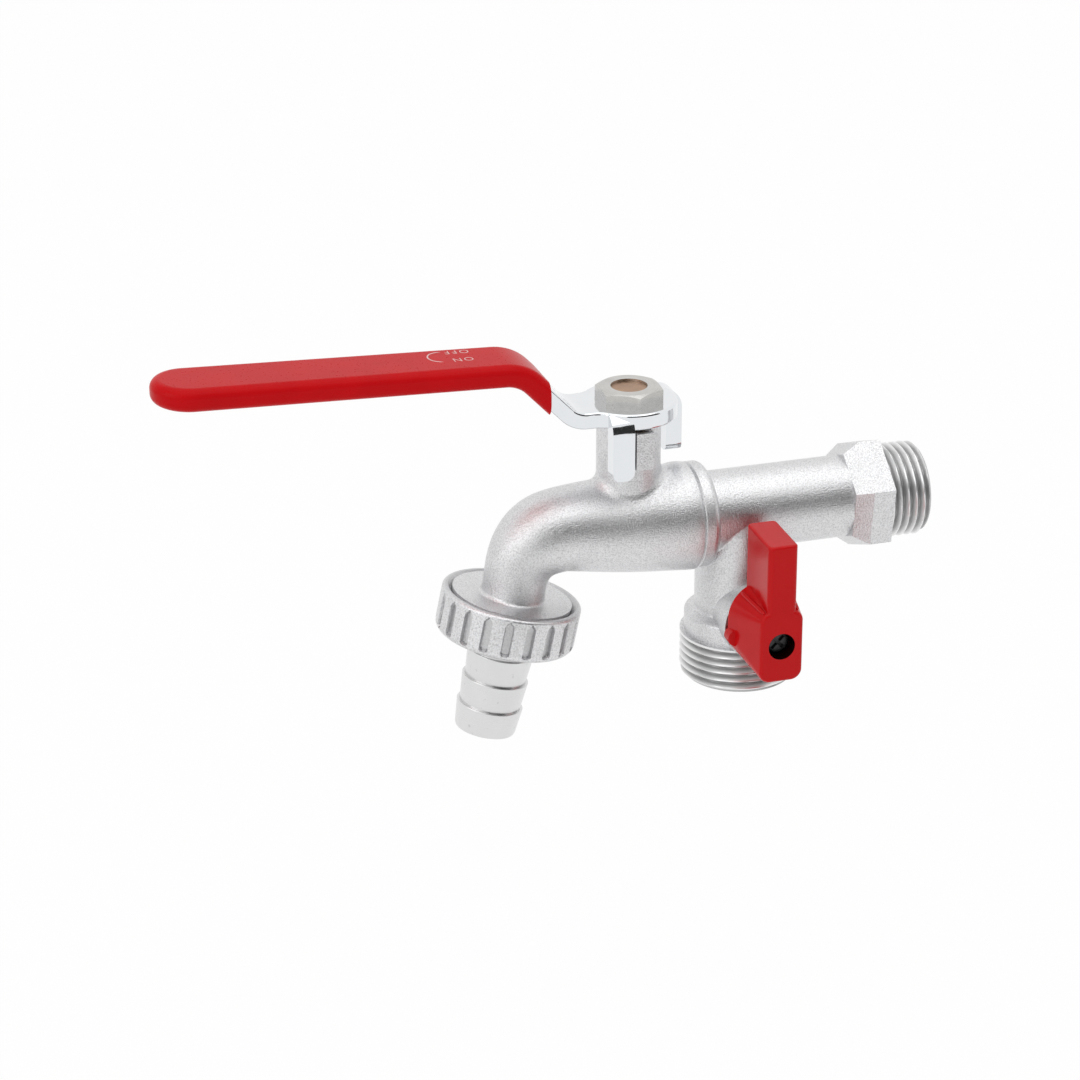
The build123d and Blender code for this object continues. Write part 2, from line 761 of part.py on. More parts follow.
# Lower ball with its bore upright when open, and its slot towards the side stem
with BuildPart() as lower_ball:
    with Locations((branch_x, 0, lower_z)):
        Sphere(lower_ball_radius)
    with BuildSketch(Plane.XY.offset(lower_z)):
        with Locations((branch_x, 0)):
            Circle(lower_bore_radius)
    extrude(amount=lower_ball_radius, both=True, mode=Mode.SUBTRACT)
    with BuildSketch(Plane.XZ.offset(lower_ball_radius - side_tang_depth - seat_clearance)):
        with Locations((branch_x, lower_z)):
            Rectangle(2 * lower_ball_radius, side_tang_thickness + 2 * running_clearance)
    extrude(amount=lower_ball_radius, mode=Mode.SUBTRACT)
lower_ball.part.label = "lower_ball"
export_step(lower_ball.part, "parts/lower_ball.step")


# Seat rings of the lower ball, one above it and one below it
lower_seat_outer_radius = lower_cavity_radius - seat_clearance
lower_seat_width = lower_seat_outer_radius - lower_seat_inner_radius
lower_seat_middle = lower_seat_start + lower_seat_length / 2
for place, way in (("inner", 1), ("outer", -1)):
    with BuildPart() as lower_seat:
        with BuildSketch(Plane.XZ):
            with Locations((
                branch_x + lower_seat_inner_radius + lower_seat_width / 2,
                lower_z + way * lower_seat_middle,
            )):
                Rectangle(lower_seat_width, lower_seat_length)
            with Locations((branch_x, lower_z)):
                Circle(lower_ball_radius + seat_clearance, mode=Mode.SUBTRACT)
        revolve(axis=branch_line)
    lower_seat.part.label = f"lower_seat_{place}"
    export_step(lower_seat.part, f"parts/lower_seat_{place}.step")


# Slotted ring screwed in from the outlet that holds the lower seat
retainer_top = lower_z - lower_seat_back
with BuildPart() as seat_retainer:
    with BuildSketch(Plane.XY.offset(retainer_top - retainer_length)):
        with Locations((branch_x, 0)):
            Circle(lower_cavity_radius - screwed_clearance)
            Circle(lower_port_radius, mode=Mode.SUBTRACT)
    extrude(amount=retainer_length)
    with BuildSketch(Plane.XY.offset(retainer_top - retainer_length)):
        with Locations((branch_x, 0)):
            Rectangle(2 * lower_cavity_radius, retainer_slot_width)
    extrude(amount=retainer_slot_depth, mode=Mode.SUBTRACT)
seat_retainer.part.label = "seat_retainer"
export_step(seat_retainer.part, "parts/seat_retainer.step")


# Side stem: tang, flange, grooved shaft and the square that turns with the handle
side_ring_outer = side_stem_radius + running_clearance - seat_clearance
side_groove_radius = side_ring_outer - 2 * side_o_ring_section - seat_clearance
side_groove_half = side_o_ring_section + running_clearance
screw_shank_end = screw_seat - screw_shank_length
with BuildPart() as side_stem:
    with BuildSketch(Plane.XZ.offset(lower_ball_radius - side_tang_depth)):
        with Locations((branch_x, lower_z)):
            Rectangle(2 * (lower_seat_start - free_gap), side_tang_thickness)
    extrude(amount=side_flange_inner - lower_ball_radius + side_tang_depth)
    with BuildSketch(Plane.XZ.offset(side_flange_inner)):
        with Locations((branch_x, lower_z)):
            Circle(side_flange_radius)
    extrude(amount=side_flange_height)
    with BuildSketch(Plane.XZ.offset(side_flange_outer)):
        with Locations((branch_x, lower_z)):
            Circle(side_stem_radius)
    extrude(amount=handle_back - side_flange_outer)
    with BuildSketch(Plane.XZ.offset(handle_back)):
        with Locations((branch_x, lower_z)):
            Rectangle(side_square, side_square)
    extrude(amount=side_square_end - handle_back)
    with BuildSketch(Plane.XZ.offset(side_o_ring_distance - side_groove_half)):
        with Locations((branch_x, lower_z)):
            Circle(side_stem_radius)
            Circle(side_groove_radius, mode=Mode.SUBTRACT)
    extrude(amount=2 * side_groove_half, mode=Mode.SUBTRACT)
    with BuildSketch(Plane.XZ.offset(screw_shank_end - free_gap)):
        with Locations((branch_x, lower_z)):
            Circle(screw_shank_radius + screwed_clearance)
    extrude(amount=side_square_end, mode=Mode.SUBTRACT)
side_stem.part.label = "side_stem"
export_step(side_stem.part, "parts/side_stem.step")


# Thrust washer and rubber ring of the side stem
with BuildPart() as side_thrust_washer:
    with BuildSketch(Plane.XZ.offset(side_flange_outer)):
        with Locations((branch_x, lower_z)):
            Circle(side_flange_radius)
            Circle(side_stem_radius + seat_clearance, mode=Mode.SUBTRACT)
    extrude(amount=side_washer_thickness - seat_clearance)
side_thrust_washer.part.label = "side_thrust_washer"
export_step(side_thrust_washer.part, "parts/side_thrust_washer.step")

with BuildPart() as side_o_ring:
    with Locations(Plane.XZ.offset(side_o_ring_distance)):
        with Locations((branch_x, lower_z)):
            Torus(side_ring_outer - side_o_ring_section, side_o_ring_section)
side_o_ring.part.label = "side_o_ring"
export_step(side_o_ring.part, "parts/side_o_ring.step")


# Side handle: oval base that narrows to a square face, one wing that reaches back over the boss, a stop lug
wing_foot = boss_radius + wing_foot_gap
with BuildPart() as side_handle:
    with BuildSketch(Plane.XZ.offset(handle_back)):
        with Locations((branch_x, lower_z + handle_base_rise / 2)):
            RectangleRounded(
                2 * handle_base_radius,
                2 * handle_base_radius + handle_base_rise,
                handle_base_radius - seat_clearance,
            )
    with BuildSketch(Plane.XZ.offset(handle_front)):
        with Locations((branch_x, lower_z - handle_face_drop)):
            RectangleRounded(handle_face_width, handle_face_height, handle_face_round)
    loft()
    fillet(side_handle.edges().group_by(Axis.Y)[0], handle_edge_round)
    with BuildSketch(Plane.XY.offset(lower_z + wing_foot)):
        with Locations((branch_x, -(wing_back + handle_front) / 2)):
            RectangleRounded(wing_width, handle_front - wing_back, wing_round)
    extrude(amount=wing_back_top + wing_round - wing_foot)
    with BuildSketch(Plane.XY.offset(lower_z)):
        with Locations((branch_x, -(handle_back + handle_front) / 2)):
            Rectangle(wing_width, handle_front - handle_back - 2 * wing_round)
    extrude(amount=wing_foot)
    wing_slope = Vector(0, wing_back_top - wing_front_top, wing_back - handle_front)
    split(bisect_by=Plane((branch_x, -wing_back, lower_z + wing_back_top), x_dir=(1, 0, 0), z_dir=wing_slope))
    fillet(side_handle.faces().sort_by(Axis.Z)[-1].edges(), wing_round / 2)
    with BuildSketch(Plane.XZ.offset(handle_back)):
        with Locations((branch_x - handle_lug_reach, lower_z - handle_lug_drop)):
            Circle(handle_lug_radius)
    extrude(amount=handle_lug_depth)
    with BuildSketch(Plane.XZ.offset(handle_back)):
        with Locations((branch_x, lower_z)):
            Rectangle(side_square + 2 * screwed_clearance, side_square + 2 * screwed_clearance)
    extrude(amount=side_square_end - handle_back + screwed_clearance, mode=Mode.SUBTRACT)
    with BuildSketch(Plane.XZ.offset(handle_back)):
        with Locations((branch_x, lower_z)):
            Circle(screw_shank_radius + screwed_clearance)
    extrude(amount=handle_front - handle_back, mode=Mode.SUBTRACT)
    with BuildSketch(Plane.XZ.offset(screw_seat)):
        with Locations((branch_x, lower_z)):
            Circle(screw_hole_radius)
    extrude(amount=handle_front - screw_seat, mode=Mode.SUBTRACT)
side_handle.part.label = "side_handle"
export_step(side_handle.part, "parts/side_handle.step")


# Cross-head screw that holds the side handle on its stem
with BuildPart() as handle_screw:
    with BuildSketch(Plane.XZ.offset(screw_seat)):
        with Locations((branch_x, lower_z)):
            Circle(screw_head_radius)
    extrude(amount=screw_head_height)
    fillet(handle_screw.edges().group_by(Axis.Y)[0], screw_head_height / 2)
    with BuildSketch(Plane.XZ.offset(screw_shank_end)):
        with Locations((branch_x, lower_z)):
            Circle(screw_shank_radius)
    extrude(amount=screw_shank_length)
    with BuildSketch(Plane.XZ.offset(screw_seat + screw_head_height - screw_cross_depth)):
        with Locations((branch_x, lower_z)):
            Rectangle(screw_cross_length, screw_cross_width, rotation=45)
            Rectangle(screw_cross_length, screw_cross_width, rotation=-45)
    extrude(amount=screw_cross_depth, mode=Mode.SUBTRACT)
handle_screw.part.label = "handle_screw"
export_step(handle_screw.part, "parts/handle_screw.step")
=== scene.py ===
"""Dresses a packed garden tap: cut threads, a ribbed union nut, a turned hose tail, finishes and a studio."""

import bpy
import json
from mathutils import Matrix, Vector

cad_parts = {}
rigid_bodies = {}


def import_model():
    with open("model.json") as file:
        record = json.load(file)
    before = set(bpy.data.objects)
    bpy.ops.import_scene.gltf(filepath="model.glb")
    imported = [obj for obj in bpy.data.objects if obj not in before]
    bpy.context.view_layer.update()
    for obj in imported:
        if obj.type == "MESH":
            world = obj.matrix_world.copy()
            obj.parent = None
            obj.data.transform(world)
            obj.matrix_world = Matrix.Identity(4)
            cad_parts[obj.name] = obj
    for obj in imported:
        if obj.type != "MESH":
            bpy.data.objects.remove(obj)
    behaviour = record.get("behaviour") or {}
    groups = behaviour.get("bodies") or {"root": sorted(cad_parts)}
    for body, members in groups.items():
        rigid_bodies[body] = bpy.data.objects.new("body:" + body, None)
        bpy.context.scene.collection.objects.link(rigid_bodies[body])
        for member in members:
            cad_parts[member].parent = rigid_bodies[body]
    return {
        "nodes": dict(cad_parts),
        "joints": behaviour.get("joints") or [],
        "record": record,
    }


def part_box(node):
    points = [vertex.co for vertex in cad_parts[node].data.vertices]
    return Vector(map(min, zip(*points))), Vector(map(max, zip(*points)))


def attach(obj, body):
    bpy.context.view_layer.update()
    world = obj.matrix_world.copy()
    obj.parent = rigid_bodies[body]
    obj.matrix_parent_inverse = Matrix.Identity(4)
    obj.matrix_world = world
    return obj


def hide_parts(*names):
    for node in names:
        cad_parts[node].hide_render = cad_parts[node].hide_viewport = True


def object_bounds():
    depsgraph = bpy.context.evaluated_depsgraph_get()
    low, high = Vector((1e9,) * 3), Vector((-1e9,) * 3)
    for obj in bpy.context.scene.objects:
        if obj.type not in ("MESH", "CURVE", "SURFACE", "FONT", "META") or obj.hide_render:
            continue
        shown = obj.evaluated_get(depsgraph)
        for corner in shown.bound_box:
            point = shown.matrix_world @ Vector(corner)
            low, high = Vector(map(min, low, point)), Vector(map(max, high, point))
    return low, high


bl_info = {
    "name": "Dual Outlet Garden Tap",
    "version": (1, 0, 0),
    "blender": (4, 5, 0),
    "location": "View3D > Sidebar > Tap",
    "description": "Cuts the threads of a garden tap, dresses its metal and red parts and lights it",
    "category": "Object",
}

import json
import math

import bmesh
import bpy
import numpy as np
from bpy.props import FloatProperty, FloatVectorProperty, IntProperty, PointerProperty
from mathutils import Matrix, Vector

for leftover in list(bpy.data.objects):
    bpy.data.objects.remove(leftover)
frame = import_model()
cad_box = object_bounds()

MM = 0.001
WELD = 1e-6  # CAD corners nearer than this are one corner
HAIR = 1e-7  # the same for cuts and letters
BRIDGE = 0.08 * MM  # gap between a cut casting and its thread's wall, closed with faces
RIM_BAND = 0.2 * MM  # open edges this near to a cut belong to its rims
MARK_TOP, MARK_FOOT = 0.03 * MM, -0.05 * MM  # the lever's mark, from the sleeve's surface
QUARTER = np.linspace(0, np.pi / 2, 9)  # angles along a rounded corner
CAD_NORMAL = "cad_normal"  # carries the CAD's normals through the cuts
mounts = {mount["name"]: mount for mount in frame["record"]["mounts"]}
joints = {joint["name"]: joint for joint in frame["joints"]}


class TapShapes(bpy.types.PropertyGroup):
    """Sizes of the threads, the nut's grips and the lever's mark."""

    pitch: FloatProperty(
        name="Thread pitch", description="Distance between two crests, 14 to the inch",
        default=1.814 * MM, unit="LENGTH", precision=5)
    depth: FloatProperty(
        name="Thread depth", description="Height of a thread from valley to crest",
        default=1.162 * MM, unit="LENGTH", precision=5)
    run_out: FloatProperty(
        name="Run-out", description="Length over which a thread fades at its shoulder",
        default=0.9 * MM, unit="LENGTH", precision=5)
    rows_per_pitch: IntProperty(
        name="Rows to a pitch", description="Rows of faces along one turn of a thread", default=16, min=6)
    columns: IntProperty(
        name="Columns", description="Faces round a thread or a turned piece", default=144, min=24)
    grip_count: IntProperty(name="Grips", description="Grooves round the union nut", default=20, min=3)
    grip_width: FloatProperty(
        name="Grip width", description="Width of a groove in the union nut",
        default=2.0 * MM, unit="LENGTH", precision=5)
    grip_depth: FloatProperty(
        name="Grip depth", description="Depth of a groove in the union nut",
        default=0.9 * MM, unit="LENGTH", precision=5)
    crest_round: FloatProperty(
        name="Crest rounding", description="Rounding of the hose tail's crests",
        default=0.14 * MM, unit="LENGTH", precision=5)
    mark_height: FloatProperty(
        name="Mark height", description="Height of the letters on the lever",
        default=1.85 * MM, unit="LENGTH", precision=5)


class TapColours(bpy.types.PropertyGroup):
    """Colours of the finishes, as linear values."""

    nickel: FloatVectorProperty(
        name="Nickel", description="Plated casting", subtype="COLOR", default=(0.74, 0.74, 0.75))
    turned: FloatVectorProperty(
        name="Turned nickel", description="Threads and hose tail", subtype="COLOR",
        default=(0.72, 0.72, 0.72))
    chrome: FloatVectorProperty(
        name="Chrome", description="Lever strip and balls", subtype="COLOR", default=(0.80, 0.82, 0.84))
    vinyl: FloatVectorProperty(
        name="Red vinyl", description="Lever sleeve", subtype="COLOR", default=(0.62, 0.004, 0.007))
    plastic: FloatVectorProperty(
        name="Red plastic", description="Side handle", subtype="COLOR", default=(0.60, 0.006, 0.008))
    steel: FloatVectorProperty(
        name="Plated steel", description="Lever nut", subtype="COLOR", default=(0.56, 0.55, 0.53))
    brass: FloatVectorProperty(
        name="Brass", description="Stems and seat retainer", subtype="COLOR", default=(0.40, 0.25, 0.16))
    print_white: FloatVectorProperty(
        name="Print", description="Mark on the lever", subtype="COLOR", default=(0.86, 0.62, 0.60))


class TapStage(bpy.types.PropertyGroup):
    """Camera, floor and light."""

    azimuth: FloatProperty(
        name="Azimuth", description="Camera's turn about the upright axis",
        default=math.radians(-17.757), subtype="ANGLE")
    elevation: FloatProperty(
        name="Elevation", description="Camera's height as an angle",
        default=math.radians(23.299), subtype="ANGLE")
    distance: FloatProperty(
        name="Distance", description="From the camera to its target", default=0.8, unit="LENGTH")
    lens: FloatProperty(name="Lens", description="Focal length in millimetres", default=123.17)
    target: FloatVectorProperty(
        name="Target", description="Point in the middle of the picture",
        default=(-78.05 * MM, 0.0, -1.61 * MM), subtype="TRANSLATION", precision=5)
    floor_drop: FloatProperty(
        name="Floor drop", description="Floor's distance below the tap", default=0.055, unit="LENGTH")
    top_light: FloatProperty(
        name="Top light", description="Power of the softbox above", default=6.0, unit="POWER")
    fill_light: FloatProperty(
        name="Fill light", description="Power of the softbox at the left", default=2.0, unit="POWER")
    world_level: FloatProperty(
        name="Room light", description="Strength of the room on matt surfaces", default=0.55)


class Wire:
    """A socket in a node tree. Arithmetic on it adds Math nodes to that tree."""

    def __init__(self, sheet, socket):
        self.sheet = sheet
        self.socket = socket

    def maths(self, operation, first, second):
        return self.sheet.node("ShaderNodeMath", {"operation": operation}, {0: first, 1: second})

    def __add__(self, other):
        return self.maths("ADD", self, other)

    __radd__ = __add__

    def __sub__(self, other):
        return self.maths("SUBTRACT", self, other)

    def __rsub__(self, other):
        return self.maths("SUBTRACT", other, self)

    def __mul__(self, other):
        return self.maths("MULTIPLY", self, other)

    __rmul__ = __mul__


class NodeSheet:
    """A node tree with one method that adds any node to it."""

    def __init__(self, tree):
        self.tree = tree

    def node(self, kind, settings, inputs, output=0):
        """Adds a node, sets it up, then sets or links its sockets, and returns one output as a wire."""
        made = self.tree.nodes.new(kind)
        for key, value in settings.items():
            setattr(made, key, value)
        for key, value in inputs.items():
            self.plug(made.inputs[key], value)
        return Wire(self, made.outputs[output])

    def plug(self, socket, value):
        """Links a wire to a socket, or writes a plain value into it."""
        if isinstance(value, Wire):
            self.tree.links.new(value.socket, socket)
        else:
            socket.default_value = value

    def place(self):
        """The point on the piece, in the tap's own frame."""
        return self.node("ShaderNodeTexCoord", {}, {}, "Object")

    def noise(self, size, detail=2.0, vector=None):
        """Noise from 0 to 1 whose features are about the given size."""
        return self.node("ShaderNodeTexNoise", {}, {
            "Vector": vector or self.place(), "Scale": 1 / size, "Detail": detail}, "Fac")

    def rings(self, size, detail, origin, axis):
        """Noise that changes along an axis and away from it but not round it, like tool marks."""
        return self.noise(size, detail, self.node(
            "ShaderNodeCombineXYZ", {}, {0: self.along(origin, axis), 1: self.away(origin, axis)}))

    def shades(self, factor, colour, dark, bright):
        """Mixes a darker and a brighter shade of a colour by a factor."""
        low, high = ([min(1.0, part * level) for part in colour] for level in (dark, bright))
        return self.node(
            "ShaderNodeMix", {"data_type": "RGBA"}, {0: factor, 6: (*low, 1), 7: (*high, 1)}, 2)

    def bump(self, height, strength, distance):
        """A normal tilted by a height."""
        return self.node(
            "ShaderNodeBump", {}, {"Height": height, "Strength": strength, "Distance": distance}, "Normal")

    def along(self, origin, axis):
        """Distance of a point along an axis."""
        offset = self.node("ShaderNodeVectorMath", {"operation": "SUBTRACT"}, {0: self.place(), 1: origin})
        return self.node("ShaderNodeVectorMath", {"operation": "DOT_PRODUCT"}, {0: offset, 1: axis}, "Value")

    def away(self, origin, axis):
        """Distance of a point from an axis."""
        offset = self.node("ShaderNodeVectorMath", {"operation": "SUBTRACT"}, {0: self.place(), 1: origin})
        across = self.node("ShaderNodeVectorMath", {"operation": "CROSS_PRODUCT"}, {0: offset, 1: axis})
        return self.node("ShaderNodeVectorMath", {"operation": "LENGTH"}, {0: across}, "Value")

    def span(self, value, low, high):
        """A value between two limits brought to 0 to 1."""
        return self.node("ShaderNodeMapRange", {}, {"Value": value, "From Min": low, "From Max": high})


def shaded(name, colour, sockets):
    """Starts a material on its own shader and returns it with its node sheet and the shader's sockets."""
    material = bpy.data.materials.new(name)
    material.use_nodes = True
    sheet = NodeSheet(material.node_tree)
    shader = material.node_tree.nodes["Principled BSDF"]
    shader.inputs["Base Color"].default_value = (*colour, 1)
    for key, value in sockets.items():
        shader.inputs[key].default_value = value
    return material, sheet, shader.inputs


def cast_nickel(name, colour, grain, strength, reach=None):
    """Nickel plate on a blasted casting: fine grains, a slow cloud in tone, duller in the grain's pits.

    The reach of a round piece, as (origin, axis, inner radius, outer radius), paints shade into its grooves:
    the tone darkens towards the axis.
    """
    material, sheet, shader = shaded(name, colour, {"Metallic": 1.0})
    grains = sheet.noise(grain, 3.0)
    cloud = sheet.noise(9 * MM)
    tone = 0.75 * sheet.span(grains, 0.32, 0.58) + 0.25 * cloud
    if reach:
        origin, axis, inner, outer = reach
        # painted shade: the tone falls to 0.3 at the grooves' bottom and stays whole at the outer radius
        tone = tone * (0.3 + 0.7 * sheet.span(sheet.away(origin, axis), inner, outer))
    sheet.plug(shader["Base Color"], sheet.shades(tone, colour, dark=0.66, bright=1.06))
    sheet.plug(shader["Roughness"], 0.40 - 0.16 * grains)
    sheet.plug(shader["Normal"], sheet.bump(grains, strength, distance=0.15 * MM))
    return material


def cut_thread(name, colour, origin, axis, major, depth):
    """Bare cut thread: a painted highlight on the crests and painted shade in the valleys, fine tool marks
    round the axis.
    """
    material, sheet, shader = shaded(name, colour, {"Metallic": 1.0})
    # painted light: 0 in the valleys (painted shade) to 1 at the crests (painted highlight); it also sets the
    # roughness
    crest = sheet.span(sheet.away(origin, axis), major - 0.75 * depth, major - 0.1 * depth)
    marks = sheet.rings(0.18 * MM, 1.0, origin, axis)
    tone = 0.85 * crest + 0.15 * marks
    sheet.plug(shader["Base Color"], sheet.shades(tone, colour, dark=0.6, bright=1.2))
    sheet.plug(shader["Roughness"], 0.42 - 0.10 * crest + 0.08 * marks)
    sheet.plug(shader["Normal"], sheet.bump(marks, strength=0.4, distance=0.05 * MM))
    return material


def turned_nickel(colour, origin, axis):
    """Satin nickel over a turned surface: rings of tool marks, a few small pits."""
    material, sheet, shader = shaded("turned_nickel", colour, {"Metallic": 1.0})
    marks = sheet.rings(0.12 * MM, 2.0, origin, axis)
    pits = sheet.span(sheet.noise(1.3 * MM, 1.0), 0.24, 0.30)
    tone = 0.6 * pits + 0.4 * sheet.noise(6 * MM)
    sheet.plug(shader["Base Color"], sheet.shades(tone, colour, dark=0.78, bright=1.04))
    sheet.plug(shader["Roughness"], 0.24 + 0.10 * marks)
    sheet.plug(shader["Normal"], sheet.bump(0.6 * marks + 0.4 * pits, strength=0.12, distance=0.05 * MM))
    return material


def bright_chrome(name, colour):
    """Chrome plate: clear, with faint smears and a slow ripple."""
    material, sheet, shader = shaded(name, colour, {"Metallic": 1.0})
    smear = sheet.noise(5 * MM, 3.0)
    ripple = sheet.noise(4.5 * MM, 1.0)
    sheet.plug(shader["Base Color"], sheet.shades(smear, colour, dark=0.95, bright=1.0))
    sheet.plug(shader["Roughness"], 0.05 + 0.08 * smear)
    sheet.plug(shader["Normal"], sheet.bump(ripple, strength=0.5, distance=0.25 * MM))
    return material


def dipped_vinyl(colour):
    """Dipped vinyl: deep red, a soft shine, a slow run in the coat and fine pores."""
    material, sheet, shader = shaded("dipped_vinyl", colour, {"Specular IOR Level": 0.08})
    runs = sheet.noise(7 * MM, 2.0)
    pores = sheet.noise(0.5 * MM, 2.0)
    sheet.plug(shader["Base Color"], sheet.shades(runs, colour, dark=0.9, bright=1.08))
    sheet.plug(shader["Roughness"], 0.24 + 0.10 * pores)
    sheet.plug(shader["Normal"], sheet.bump(runs, strength=0.10, distance=0.25 * MM))
    return material


def moulded_red(colour, origin, axis, hole):
    """Glossy moulded plastic: even red, faint flow marks, a little sink in the faces, and painted shade that
    turns the screw hole black.
    """
    material, sheet, shader = shaded(
        "moulded_red", colour, {"Specular IOR Level": 0.12, "Coat Roughness": 0.08})
    flow = sheet.noise(4 * MM, 3.0)
    # painted shade: 0 inside the screw hole, where the red goes nearly black, and 1 on the faces
    hole_shade_mask = sheet.span(sheet.away(origin, axis), 1.004 * hole, 1.02 * hole)
    tone = hole_shade_mask * (0.9 + 0.1 * flow)
    sheet.plug(shader["Base Color"], sheet.shades(tone, colour, dark=0.02, bright=1.05))
    sheet.plug(shader["Roughness"], 0.16 + 0.10 * flow)
    sheet.plug(shader["Coat Weight"], 0.03 + 0.05 * flow)
    sheet.plug(shader["Normal"], sheet.bump(flow, strength=0.06, distance=0.2 * MM))
    return material


def plated_steel(colour, origin, axis):
    """Zinc plated steel nut: turned marks on its top, brushed flats, a grey tone."""
    material, sheet, shader = shaded("plated_steel", colour, {"Metallic": 1.0})
    rings = sheet.rings(0.25 * MM, 2.0, origin, axis)
    tone = 0.5 * rings + 0.5 * sheet.noise(2.5 * MM)
    sheet.plug(shader["Base Color"], sheet.shades(tone, colour, dark=0.72, bright=1.22))
    sheet.plug(shader["Roughness"], 0.22 + 0.14 * rings)
    sheet.plug(shader["Normal"], sheet.bump(rings, strength=0.15, distance=0.05 * MM))
    return material


def machined_brass(colour):
    """Machined brass: warm, with slow tarnish and fine marks."""
    material, sheet, shader = shaded("machined_brass", colour, {"Metallic": 1.0})
    tarnish = sheet.noise(2 * MM, 3.0)
    marks = sheet.noise(0.2 * MM)
    sheet.plug(shader["Base Color"], sheet.shades(tarnish, colour, dark=0.7, bright=1.2))
    sheet.plug(shader["Roughness"], 0.28 + 0.14 * tarnish)
    sheet.plug(shader["Normal"], sheet.bump(marks, strength=0.15, distance=0.05 * MM))
    return material


def plain_polymer(name, colour, rough, grain):
    """Seat plastic, rubber or black oxide: a matt surface with a fine grain and a slow change of tone."""
    material, sheet, shader = shaded(name, colour, {})
    fine = sheet.noise(grain, 2.0)
    cloud = sheet.noise(3 * MM)
    sheet.plug(shader["Base Color"], sheet.shades(cloud, colour, dark=0.88, bright=1.1))
    sheet.plug(shader["Roughness"], rough - 0.08 + 0.16 * fine)
    sheet.plug(shader["Normal"], sheet.bump(fine, strength=0.1, distance=0.05 * MM))
    return material


def full_turn(columns):
    """Angles of a full turn in equal steps, as one row."""
    return np.linspace(0, 2 * np.pi, columns, endpoint=False)[None, :]


def around(origin, axis, distance, radius, angle):
    """Points about an axis: origin + axis x distance + radius x (side x cos angle + up x sin angle)."""
    axis = np.array(axis, float)
    side = np.cross(axis, (0.0, 1.0, 0.0))
    side /= np.linalg.norm(side)
    up = np.cross(axis, side)
    distance, radius, angle = np.broadcast_arrays(distance, radius, angle)
    return (
        np.array(origin, float) + distance[..., None] * axis
        + (radius * np.cos(angle))[..., None] * side + (radius * np.sin(angle))[..., None] * up
    )


def ring_faces(rows, columns, closed):
    """Quads of a grid that closes round its columns, and round its rows as well for a closed ring."""
    row = np.arange(rows if closed else rows - 1)[:, None]
    column = np.arange(columns)[None, :]
    below = (row + 1) % rows * columns
    beside = (column + 1) % columns
    return np.stack(
        [row * columns + column, row * columns + beside, below + beside, below + column], -1).reshape(-1, 4)


def skin(name, points, quads, finish=0):
    """A mesh from whole arrays of points and faces, all in one finish."""
    mesh = bpy.data.meshes.new(name)
    mesh.from_pydata(points.reshape(-1, 3), [], quads)
    mesh.polygons.foreach_set("material_index", np.full(len(quads), finish, np.int32))
    return mesh


def absorb(copy, mesh):
    """Moves a mesh's faces into a copy that is being built."""
    copy.from_mesh(mesh)
    bpy.data.meshes.remove(mesh)


def smooth_step(value):
    """0 below 0, 1 above 1, and 3v^2 - 2v^3 between them."""
    value = np.clip(value, 0.0, 1.0)
    return value * value * (3 - 2 * value)


def thread_points(shapes, origin, axis, major, start, end, chamfer, bore):
    """The wall of a threaded end, from its shoulder over the thread and the end face into the bore.

    The thread's radius is major - depth x (1 - tooth) / 2 x fade. The tooth is a rounded triangle wave
    of distance / pitch - angle / turn, the fade grows from 0 at the shoulder over the run-out, and a
    cone of 45 degrees limits the radius at the end. The bore is a list of (distance, radius) steps.
    """
    rows = int((end - start) / shapes.pitch * shapes.rows_per_pitch) + 1
    angle = full_turn(shapes.columns)
    distance = np.linspace(start, end, rows)[:, None]
    sharp = 0.95
    tooth = np.arcsin(sharp * np.cos(2 * np.pi * distance / shapes.pitch - angle)) / math.asin(sharp)
    fade = smooth_step((distance - start) / shapes.run_out)
    radius = major - shapes.depth * (1 - tooth) / 2 * fade
    radius = np.minimum(radius, major - np.clip(distance - (end - chamfer), 0, None))
    inner = np.array(bore)[:, :, None]
    face = np.linspace(radius[-1], np.full(shapes.columns, bore[0][1]), 4)[1:-1]
    distances = np.concatenate(
        [np.broadcast_to(distance, radius.shape), np.full(face.shape, end),
         np.broadcast_to(inner[:, 0], (len(bore), shapes.columns))])
    radii = np.concatenate([radius, face, np.broadcast_to(inner[:, 1], (len(bore), shapes.columns))])
    return around(origin, axis, distances, radii, angle)


def merged_copy(node):
    """A CAD node's mesh with its loose triangles joined and its normals kept at their corners."""
    source = frame["nodes"][node].data.copy()
    normals = np.empty(len(source.loops) * 3, np.float32)
    source.corner_normals.foreach_get("vector", normals)
    source.attributes.new(CAD_NORMAL, "FLOAT_VECTOR", "CORNER").data.foreach_set("vector", normals)
    copy = bmesh.new()
    absorb(copy, source)
    bmesh.ops.remove_doubles(copy, verts=copy.verts, dist=WELD)
    return copy


